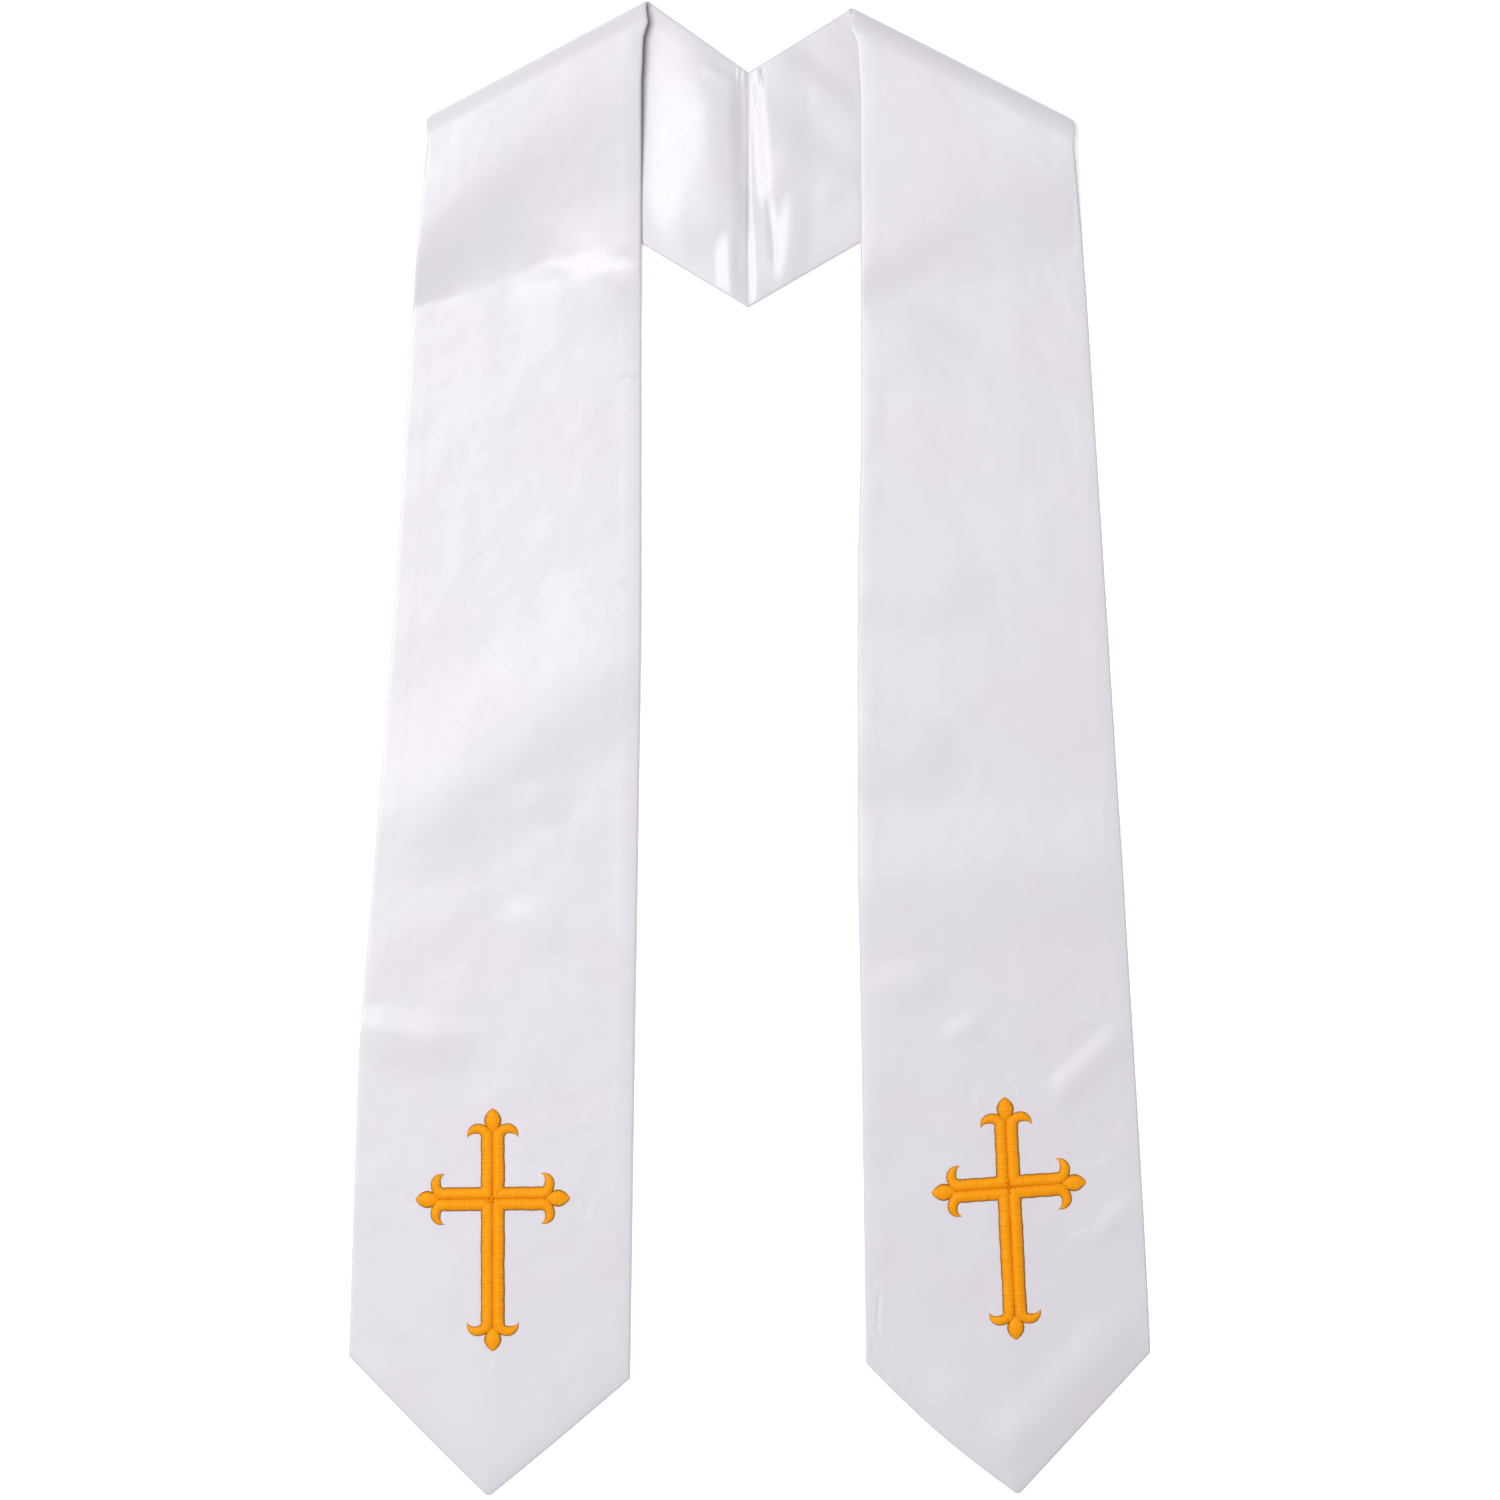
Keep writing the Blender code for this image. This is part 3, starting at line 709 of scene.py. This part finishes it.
def satin_material(name, colour, cool, weave_depth):
    """Polyester duchess satin, woven in five-end floats.

    The long floats give a broad, soft gloss that stretches across the weave, and a white that
    goes from lavender to a cooler grey.
    """
    material, tree, shader = new_material(name, {
        "Specular IOR Level": 0.32, "Anisotropic": 0.3,
        "Sheen Weight": 0.05, "Sheen Roughness": 0.4,
    })
    cloth = add_node(tree, "ShaderNodeUVMap", {"uv_map": "cloth"})
    # Floats of 0.1 mm are too fine to show, so they are drawn 0.5 mm apart and 3 mm long
    stretched = add_node(
        tree, "ShaderNodeMapping", {}, {"Scale": FLOATS_TO_A_METRE},
        {"Vector": (cloth, "UV")},
    )
    floats = add_node(
        tree, "ShaderNodeTexNoise", {"noise_dimensions": "2D"},
        {"Scale": 1.0, "Detail": 1.0, "Roughness": 0.5}, {"Vector": (stretched, "Vector")},
    )
    # Slow changes of tint, about 70 mm across
    clouds = add_node(
        tree, "ShaderNodeTexNoise", {"noise_dimensions": "2D"},
        {"Scale": TINT_SCALE, "Detail": 2.0, "Roughness": 0.5}, {"Vector": (cloth, "UV")},
    )
    tint = add_node(
        tree, "ShaderNodeMapRange", {}, {"From Min": 0.35, "From Max": 0.65},
        {"Value": (clouds, "Fac")},
    )
    mixed = add_node(
        tree, "ShaderNodeMix", {"data_type": "RGBA"}, {"A": linear(colour), "B": linear(cool)},
        {"Factor": (tint, "Result")},
    )
    gloss = add_node(
        tree, "ShaderNodeMapRange", {}, {"From Min": 0.3, "From Max": 0.7, **FLOAT_ROUGHNESS},
        {"Value": (floats, "Fac")},
    )
    # Slack in the cloth: shallow swells 15 to 60 mm across that shift the gloss a little
    swells = add_node(
        tree, "ShaderNodeTexNoise", {"noise_dimensions": "2D"},
        {"Scale": SLACK_SCALE, "Detail": 2.5, "Roughness": 0.45}, {"Vector": (cloth, "UV")},
    )
    slack = add_node(
        tree, "ShaderNodeBump", {}, {"Strength": 1.0, "Distance": SLACK_RELIEF * MM},
        {"Height": (swells, "Fac")},
    )
    relief = add_node(
        tree, "ShaderNodeBump", {}, {"Strength": weave_depth, "Distance": FLOAT_RELIEF * MM},
        {"Height": (floats, "Fac"), "Normal": (slack, "Normal")},
    )
    tangent = add_node(tree, "ShaderNodeTangent", {"direction_type": "UV_MAP", "uv_map": "cloth"})
    tree.links.new(mixed.outputs["Result"], shader.inputs["Base Color"])
    tree.links.new(gloss.outputs["Result"], shader.inputs["Roughness"])
    tree.links.new(relief.outputs["Normal"], shader.inputs["Normal"])
    tree.links.new(tangent.outputs["Tangent"], shader.inputs["Tangent"])
    return material


def gold_thread_material(name, light, deep, painted_shade_colour, pitch):
    """Rayon embroidery thread, laid side by side over padding.

    It gives the eye a warm yellow that turns to deep orange away from the light, with fine lines
    across each strand, and a brown shade painted down the sides of each lobe.
    """
    material, tree, shader = new_material(name, {
        "Specular IOR Level": 0.25, "Specular Tint": linear("#FFC766"), "Roughness": 0.42,
    })
    cloth = add_node(tree, "ShaderNodeUVMap", {"uv_map": "cloth"})
    # One patch of shade to a thread, and slow changes every 7 mm or so
    across = add_node(
        tree, "ShaderNodeMapping", {},
        {"Scale": (1.0 / (pitch * MM), SHADES_TO_A_METRE, 1.0)}, {"Vector": (cloth, "UV")},
    )
    threads = add_node(
        tree, "ShaderNodeTexNoise", {"noise_dimensions": "2D"}, {"Scale": 0.9, "Detail": 1.0},
        {"Vector": (across, "Vector")},
    )
    shade = add_node(
        tree, "ShaderNodeMapRange", {}, {"From Min": 0.3, "From Max": 0.7},
        {"Value": (threads, "Fac")},
    )
    mixed = add_node(
        tree, "ShaderNodeMix", {"data_type": "RGBA"}, {"A": linear(deep), "B": linear(light)},
        {"Factor": (shade, "Result")},
    )
    # Painted shade: the colour darkens to brown where the threads turn down at both sides of a
    # lobe, on top of the shade the lamps give there
    place = add_node(tree, "ShaderNodeSeparateXYZ", {}, {}, {"Vector": (cloth, "UV")})
    side = add_node(
        tree, "ShaderNodeMapRange", {"interpolation_type": "SMOOTHSTEP"},
        {
            "From Min": PAINTED_SHADE_STARTS * LOBE_SIDE * MM, "From Max": PAINTED_SHADE_ENDS * LOBE_SIDE * MM,
            "To Max": PAINTED_SIDE_SHADE,
        },
        {"Value": (place, "Y")},
    )
    painted_shade_gold = add_node(
        tree, "ShaderNodeMix", {"data_type": "RGBA"}, {"B": linear(painted_shade_colour)},
        {"Factor": (side, "Result"), "A": (mixed, "Result")},
    )
    tree.links.new(painted_shade_gold.outputs["Result"], shader.inputs["Base Color"])
    return material


def floor_material(name, colour, glow):
    """Matt white paper on a light table, so that shadows on it stay faint."""
    material, tree, shader = new_material(name, {
        "Roughness": 0.9, "Specular IOR Level": 0.1, "Emission Color": linear(colour),
        "Emission Strength": glow,
    })
    place = add_node(tree, "ShaderNodeTexCoord")
    grain = add_node(
        tree, "ShaderNodeTexNoise", {}, {"Scale": 900.0, "Detail": 2.0},
        {"Vector": (place, "Object")},
    )
    tint = add_node(
        tree, "ShaderNodeMapRange", {}, {"To Min": 0.97, "To Max": 1.0}, {"Value": (grain, "Fac")}
    )
    mixed = add_node(
        tree, "ShaderNodeMix", {"data_type": "RGBA"},
        {"A": linear("#F3F3F3"), "B": linear(colour)}, {"Factor": (tint, "Result")},
    )
    tree.links.new(mixed.outputs["Result"], shader.inputs["Base Color"])
    return material


# The cross


def unit(vector):
    return vector / np.linalg.norm(vector)


def lobe_points(centres, acrosses, inners, outers, crowns, grooves, inner_sides):
    """Rows of a padded lobe, each round its crown and back beneath it, and how far each point is
    down a side that shows, from 0 on the crown to 1 at the cloth, which sets the painted shade
    there."""
    angles = np.linspace(0.0, math.pi, RING)[None, :]
    crown = np.sin(angles) ** CROWN_ROUND
    sideways = np.cos(angles)
    width = np.where(sideways > 0.0, outers[:, None], inners[:, None])
    plan = centres[:, None, :] + acrosses[:, None, :] * (sideways * width)[..., None]
    height = STRAND_FOOT + crown * (crowns * grooves)[:, None]
    points = np.concatenate((plan, height[..., None]), axis=-1)
    # The outer side takes the painted shade in full, the inner side by its given share
    shown = np.where(sideways > 0.0, 1.0, inner_sides[:, None])
    sides = shown * np.abs(1.0 - angles / (math.pi / 2))
    points = np.concatenate((points, points[:, :1]), axis=1)
    return points, np.concatenate((sides, sides[:, :1]), axis=1)


def thread_grooves(rows, depth, seed):
    """Height of each row as a share of its lobe's: low between two threads and high on them."""
    draw = np.random.default_rng(seed)
    threads = rows // ROWS_TO_A_THREAD + 1
    heights = 1.0 + draw.normal(0.0, THREAD_SPREAD, threads)
    order = np.arange(rows)
    between = order % ROWS_TO_A_THREAD == 0
    return heights[order // ROWS_TO_A_THREAD] - np.where(between, depth / STRAND_CROWN, 0.0)


def hook_rows(reach, arm, sideways, step):
    """Centres, directions and half widths from the point of a hook to the foot of its curl."""
    length = HOOK_RADIUS * math.radians(180 - HOOK_END)
    shares = np.linspace(0.0, 1.0, max(int(length / step), 2))
    turns = np.radians(HOOK_END + (180 - HOOK_END) * shares)[:, None]
    radial = arm * np.sin(turns) + sideways * np.cos(turns)
    centres = arm * (reach - HOOK_BELOW_TIP) + sideways * HOOK_OUT + radial * HOOK_RADIUS
    to_point = HOOK_HALF * np.sin(math.pi * np.minimum(shares, 0.5)) ** HOOK_SLENDER
    to_foot = HOOK_HALF + (STRAND_OUTER - HOOK_HALF) * ease(2.0 * shares - 1.0)
    outside = np.where(shares < 0.5, to_point, to_foot)
    return centres, radial, outside, shares


def strand_half(reach, arm, sideways, step):
    """Rows of half a strand, from its hook's point along its arm to the mitred corner."""
    centres, radial, widths, shares = hook_rows(reach, arm, sideways, step)
    # On the straight run the outer side is away from the arm's own middle line
    acrosses = -radial
    narrow = STRAND_INNER + (STRAND_OUTER - STRAND_INNER) * (1.0 - ease(4.0 * shares - 3.0))
    inners = widths * narrow / STRAND_OUTER
    foot = reach - HOOK_BELOW_TIP
    corner = STRAND_SPACING / 2
    run = np.linspace(foot, corner, int((foot - corner) / step))[1:, None]
    fan = math.pi / 4 * ease(1.0 - (run - corner) / FAN_LENGTH)
    straight_across = sideways * np.cos(fan) + arm * np.sin(fan)
    straight = arm * run + sideways * corner
    stretch = 1.0 / np.cos(fan[:, 0])
    # The inner side shows round the hook and takes the painted shade there; on the straight run it
    # is against the next strand and takes none
    in_hook = 1.0 - ease((shares - 0.7) / 0.3)
    return (
        np.concatenate((centres, straight)),
        np.concatenate((acrosses, straight_across)),
        np.concatenate((inners, STRAND_INNER * stretch)),
        np.concatenate((widths, STRAND_OUTER * stretch)),
        np.concatenate((in_hook, np.zeros(len(stretch)))),
    )


def strand(arm_a, reach_a, arm_b, reach_b, step, depth, seed):
    """One strand: a hook, along its arm, round the mitred corner and out to the next hook."""
    first = strand_half(reach_a, arm_a, arm_b, step)
    second = strand_half(reach_b, arm_b, arm_a, step)
    centres, acrosses, inners, outers, inner_sides = (
        np.concatenate((one, other[-2::-1])) for one, other in zip(first, second)
    )
    crowns = STRAND_CROWN * np.sqrt(np.minimum(outers, STRAND_OUTER) / STRAND_OUTER)
    order = np.arange(len(centres)) * step
    draw = np.random.default_rng(seed)
    for length in STRAND_WAVES:
        wave = np.sin(2 * math.pi * (order / length + draw.random()))
        crowns = crowns * (1.0 + CROWN_SWELL * wave)
        outers = outers * (1.0 + SIDE_SWELL * wave)
        centres = centres + acrosses * (STRAND_SWING * wave)[:, None]
    threads = len(centres) // ROWS_TO_A_THREAD + 1
    ragged = 1.0 + THREAD_RAGGED * draw.normal(0.0, 1.0, threads)
    outers = outers * ragged[np.arange(len(centres)) // ROWS_TO_A_THREAD]
    grooves = thread_grooves(len(centres), depth, seed)
    return lobe_points(centres, acrosses, inners, outers, crowns, grooves, inner_sides)


def bud(reach, arm, sideways, step, depth, seed):
    """The pointed bud at the end of an arm, from its tip to the point between the strands."""
    rows = int(BUD_LENGTH / step)
    shares = np.linspace(0.0, 1.0, rows)
    widths = BUD_HALF * np.sin(math.pi * shares) ** BUD_BLUNT
    centres = arm * (reach - BUD_LENGTH * shares)[:, None]
    acrosses = np.repeat(sideways[None], rows, axis=0)
    crowns = BUD_CROWN * np.sqrt(np.maximum(widths, 0.0) / BUD_HALF)
    grooves = thread_grooves(rows, depth, seed)
    return lobe_points(centres, acrosses, widths, widths, crowns, grooves, np.ones(rows))


def tuft(seed):
    """One short loose stitch across the centre, at a slant of its own."""
    draw = np.random.default_rng(seed)
    slant = draw.uniform(0.0, 2 * math.pi)
    run = np.array((math.cos(slant), math.sin(slant)))
    start = draw.uniform(-TUFT_REACH, TUFT_REACH, 2)
    length = TUFT_LENGTH * draw.uniform(*TUFT_LENGTHS)
    shares = np.linspace(0.0, 1.0, TUFT_ROWS)
    bow = draw.uniform(-TUFT_BOW, TUFT_BOW) * np.sin(math.pi * shares)
    aside = np.array((-run[1], run[0]))
    centres = start + run * (length * (shares - 0.5))[:, None] + aside * bow[:, None]
    widths = TUFT_HALF * draw.uniform(*TUFT_HALVES) * np.sin(math.pi * shares) ** 0.5
    acrosses = np.repeat(aside[None], len(shares), axis=0)
    crowns = STRAND_CROWN * (TUFT_ENDS + TUFT_RISE * np.sin(math.pi * shares))
    flat = np.ones(len(shares))
    return lobe_points(centres, acrosses, widths, widths, crowns, flat, TUFT_SHADE * flat)


def cross_lobes(skew, pitch, depth, seed):
    """The strands, the buds and the tufts of a cross about its own centre."""
    upright = np.array((math.sin(skew), math.cos(skew)))
    bar = np.array((1.0, 0.0))
    arms = (
        (upright, ARM_REACH["up"]),
        (bar, ARM_REACH["out"]),
        (-upright, ARM_REACH["down"]),
        (-bar, ARM_REACH["in"]),
    )
    step = pitch / ROWS_TO_A_THREAD
    lobes = []
    for i, (arm, reach) in enumerate(arms):
        next_arm, next_reach = arms[(i + 1) % len(arms)]
        lobes.append(strand(arm, reach, next_arm, next_reach, step, depth, seed + i))
        lobes.append(bud(reach, arm, next_arm, step, depth, seed + BUD_SEED + i))
    lobes += [tuft(seed + TUFT_SEED + i) for i in range(TUFTS)]
    return lobes


def embroidered_cross(half, settings, seed):
    """One cross, its lobes joined as one piece."""
    x = SEAM_X + half.side * half.cross.out
    y = SHOULDER_Y - half.cross.down
    tilt = math.radians(half.cross.tilt)
    turn = np.array(((math.cos(tilt), math.sin(tilt)), (-math.sin(tilt), math.cos(tilt))))
    pitch = settings.thread_pitch / MM
    lobes = cross_lobes(math.radians(half.cross.skew), pitch, settings.thread_depth / MM, seed)
    pieces = []
    for i, (lobe, sides) in enumerate(lobes):
        lobe[..., :2] = lobe[..., :2] @ turn + (x, y)
        along = np.arange(lobe.shape[0])[:, None] * pitch / ROWS_TO_A_THREAD + LOBE_APART * i
        # The second place on the cloth is how far down a side, which the gold's painted shade
        # reads
        flat = np.stack(np.broadcast_arrays(along, sides * LOBE_SIDE), axis=-1)
        piece = grid_piece(f"lobe_{half.name}_{i}", lobe, flat, False)
        close_piece(piece)
        pieces.append(piece)
    bpy.ops.object.select_all(action="DESELECT")
    for piece in pieces:
        piece.select_set(True)
    bpy.context.view_layer.objects.active = pieces[0]
    bpy.ops.object.join()
    cross = bpy.context.object
    cross.name = f"embroidered_cross_{half.name}"
    cross.data.name = cross.name
    return cross


# Settings, with sizes in metres as Blender shows them


def colour_setting(name, description, default):
    return bpy.props.StringProperty(name=name, description=description, default=default)


def number_setting(name, description, default, subtype="NONE", precision=2):
    """A number, with its unit where its subtype has one."""
    return bpy.props.FloatProperty(
        name=name, description=description, default=default, precision=precision,
        subtype=subtype, unit={"DISTANCE": "LENGTH", "POWER": "POWER"}.get(subtype, "NONE"),
    )


class StoleClothSettings(bpy.types.PropertyGroup):
    satin: colour_setting("Satin", "Colour of the satin, as sRGB hex", "#CAC5CC")
    satin_cool: colour_setting(
        "Cool satin", "The satin's colour where its tint is cooler", "#CAC7CE"
    )
    lining: colour_setting("Lining", "Colour of the lining, as sRGB hex", "#CAC5CC")
    thickness: number_setting(
        "Thickness", "Thickness of one layer of satin", SHEET * MM, "DISTANCE", 5
    )
    weave: number_setting("Weave", "Strength of the weave's relief", 0.25, "FACTOR")


class StoleCrossSettings(bpy.types.PropertyGroup):
    light: colour_setting("Light gold", "Colour of the lightest threads", "#EB9B18")
    deep: colour_setting("Deep gold", "Colour of the deepest threads", "#DA820A")
    # Painted shade: the brown mixed into the gold down the sides of each lobe
    painted_shade_gold: colour_setting(
        "Shaded gold", "Colour of the threads down the sides of a strand", "#7E4A10"
    )
    thread_pitch: number_setting(
        "Thread pitch", "Distance between two threads", 0.51 * MM, "DISTANCE", 5
    )
    thread_depth: number_setting(
        "Thread depth", "Depth of the groove between two threads", 0.03 * MM, "DISTANCE", 6
    )


class StoleStageSettings(bpy.types.PropertyGroup):
    floor: colour_setting("Floor", "Colour of the floor, as sRGB hex", "#FCFCFC")
    floor_glow: number_setting("Floor glow", "Strength of the light table beneath the paper", 0.45)
    floor_size: number_setting("Floor size", "Side of the floor", 14.0, "DISTANCE")
    camera_height: number_setting(
        "Camera height", "Height of the camera above the floor", 4.0, "DISTANCE"
    )
    framed_width: number_setting(
        "Framed width", "Width of floor that the camera takes in", 0.795, "DISTANCE"
    )
    key_power: number_setting(
        "Key light", "Power of the large soft light on the left", 82.0, "POWER"
    )
    top_power: number_setting(
        "Top light", "Power of the soft light above the shoulders", 5.0, "POWER"
    )
    side_power: number_setting(
        "Side light", "Power of the weak soft light on the right", 4.5, "POWER"
    )
    ambient: number_setting("Ambient", "Strength of the even light from all round", 0.265)


# Operators


def finish_piece(piece, replaced, material):
    """Gives a finished piece its material and its place in the frame."""
    piece.data.materials.clear()
    piece.data.materials.append(material)
    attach(piece, "root")
    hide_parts(replaced)


def satin_layers(on_face, cloth, material):
    """The same layer of both halves: the faces, which show on the panels, or the linings."""
    layer, slot = ("face", "satin") if on_face else ("lining", "lining_satin")
    for half in HALVES:
        points, flat = cloth_surface(half, on_face)
        name = f"satin_{layer}_{half.name}"
        piece = grid_piece(name, points, flat, (half.side > 0) == on_face)
        thicken(piece, cloth.thickness / MM)
        finish_piece(piece, f"{layer}_{half.name}", material)


class STOLE_OT_satin_faces(bpy.types.Operator):
    """Build the satin face of each half"""

    bl_idname = "stole.satin_faces"
    bl_label = "Satin faces"

    def execute(self, context):
        cloth = context.scene.stole_cloth
        satin_layers(True, cloth, satin_material(
            "duchess_satin_woven", cloth.satin, cloth.satin_cool, cloth.weave
        ))
        return {"FINISHED"}


class STOLE_OT_satin_linings(bpy.types.Operator):
    """Build the satin lining of each half, which shows in the V of the back"""

    bl_idname = "stole.satin_linings"
    bl_label = "Satin linings"

    def execute(self, context):
        cloth = context.scene.stole_cloth
        satin_layers(False, cloth, satin_material(
            "lining_satin_woven", cloth.lining, cloth.satin_cool, cloth.weave
        ))
        return {"FINISHED"}


class STOLE_OT_embroidered_crosses(bpy.types.Operator):
    """Build the padded gold cross on each front panel"""

    bl_idname = "stole.embroidered_crosses"
    bl_label = "Embroidered crosses"

    def execute(self, context):
        settings = context.scene.stole_cross
        material = gold_thread_material(
            "rayon_thread_satin_stitched", settings.light, settings.deep, settings.painted_shade_gold,
            settings.thread_pitch / MM,
        )
        for order, half in enumerate(HALVES, 1):
            cross = embroidered_cross(half, settings, CROSS_SEED * order)
            finish_piece(cross, f"cross_{half.name}", material)
        return {"FINISHED"}


class STOLE_OT_declare_sheets(bpy.types.Operator):
    """Work out the middle of each half's band, which is then left unused"""

    bl_idname = "stole.declare_sheets"
    bl_label = "Sheet sizes"

    def execute(self, context):
        for half in HALVES:
            spots, heights, _ = band_middle(
                half, HIDDEN_BACK_ROWS, HIDDEN_PANEL_ROWS, HIDDEN_COLUMNS
            )
        return {"FINISHED"}


def add_soft_light(soft, power):
    """A square white softbox that faces its target."""
    bpy.ops.object.light_add(type="AREA", location=soft.location)
    light = bpy.context.object
    light.name = soft.name
    light.data.shape = "SQUARE"
    light.data.size = soft.size
    light.data.energy = power
    facing = np.array(soft.target) - np.array(soft.location)
    light.rotation_euler = (
        math.atan2(math.hypot(facing[0], facing[1]), -facing[2]),
        0.0,
        math.atan2(-facing[0], facing[1]),
    )


class STOLE_OT_stage(bpy.types.Operator):
    """Add the floor, the lights and the camera"""

    bl_idname = "stole.stage"
    bl_label = "Stage"

    def execute(self, context):
        stage = context.scene.stole_stage
        bpy.ops.mesh.primitive_plane_add(size=stage.floor_size, location=(0.0, 0.0, -FLOOR_DROP))
        floor = bpy.context.object
        floor.name = "paper_floor"
        bpy.ops.object.transform_apply()
        paper = floor_material("matt_white_paper", stage.floor, stage.floor_glow)
        floor.data.materials.append(paper)
        for soft in SOFT_LIGHTS:
            add_soft_light(soft, getattr(stage, soft.power))
        world = bpy.data.worlds.new("soft_room")
        world.use_nodes = True
        backdrop = world.node_tree.nodes["Background"]
        backdrop.inputs["Color"].default_value = linear("#FFFFFF")
        backdrop.inputs["Strength"].default_value = stage.ambient
        context.scene.world = world
        context.scene.view_settings.view_transform = "Standard"
        bpy.ops.object.camera_add(location=(*CAMERA_AIM, stage.camera_height))
        camera = bpy.context.object
        camera.name = "photo_camera"
        camera.data.sensor_width = SENSOR_WIDTH
        camera.data.lens = SENSOR_WIDTH * stage.camera_height / stage.framed_width
        camera.data.clip_end = CLIP_END
        context.scene.camera = camera
        return {"FINISHED"}


class STOLE_PT_sidebar(bpy.types.Panel):
    """Lists the settings and the steps that build the stole"""

    bl_idname = "STOLE_PT_sidebar"
    bl_label = "Clerical Stole"
    bl_space_type = "VIEW_3D"
    bl_region_type = "UI"
    bl_category = "Stole"

    def draw(self, context):
        for group_name in GROUPS:
            group = getattr(context.scene, group_name)
            box = self.layout.box()
            for name in group.bl_rna.properties.keys():
                if name not in ("rna_type", "name"):
                    box.prop(group, name)
        for operator in OPERATORS:
            self.layout.operator(operator.bl_idname)


OPERATORS = (
    STOLE_OT_satin_faces,
    STOLE_OT_satin_linings,
    STOLE_OT_embroidered_crosses,
    STOLE_OT_declare_sheets,
    STOLE_OT_stage,
)
GROUPS = {
    "stole_cloth": StoleClothSettings,
    "stole_cross": StoleCrossSettings,
    "stole_stage": StoleStageSettings,
}


def register():
    for group in GROUPS.values():
        bpy.utils.register_class(group)
    for operator in OPERATORS:
        bpy.utils.register_class(operator)
    bpy.utils.register_class(STOLE_PT_sidebar)
    for name, group in GROUPS.items():
        setattr(bpy.types.Scene, name, bpy.props.PointerProperty(type=group))


def unregister():
    for name in GROUPS:
        delattr(bpy.types.Scene, name)
    bpy.utils.unregister_class(STOLE_PT_sidebar)
    for operator in reversed(OPERATORS):
        bpy.utils.unregister_class(operator)
    for group in reversed(list(GROUPS.values())):
        bpy.utils.unregister_class(group)


def main():
    register()
    bpy.ops.stole.satin_faces()
    bpy.ops.stole.satin_linings()
    bpy.ops.stole.embroidered_crosses()
    bpy.ops.stole.declare_sheets()
    bpy.ops.stole.stage()


if __name__ == "__main__":
    main()
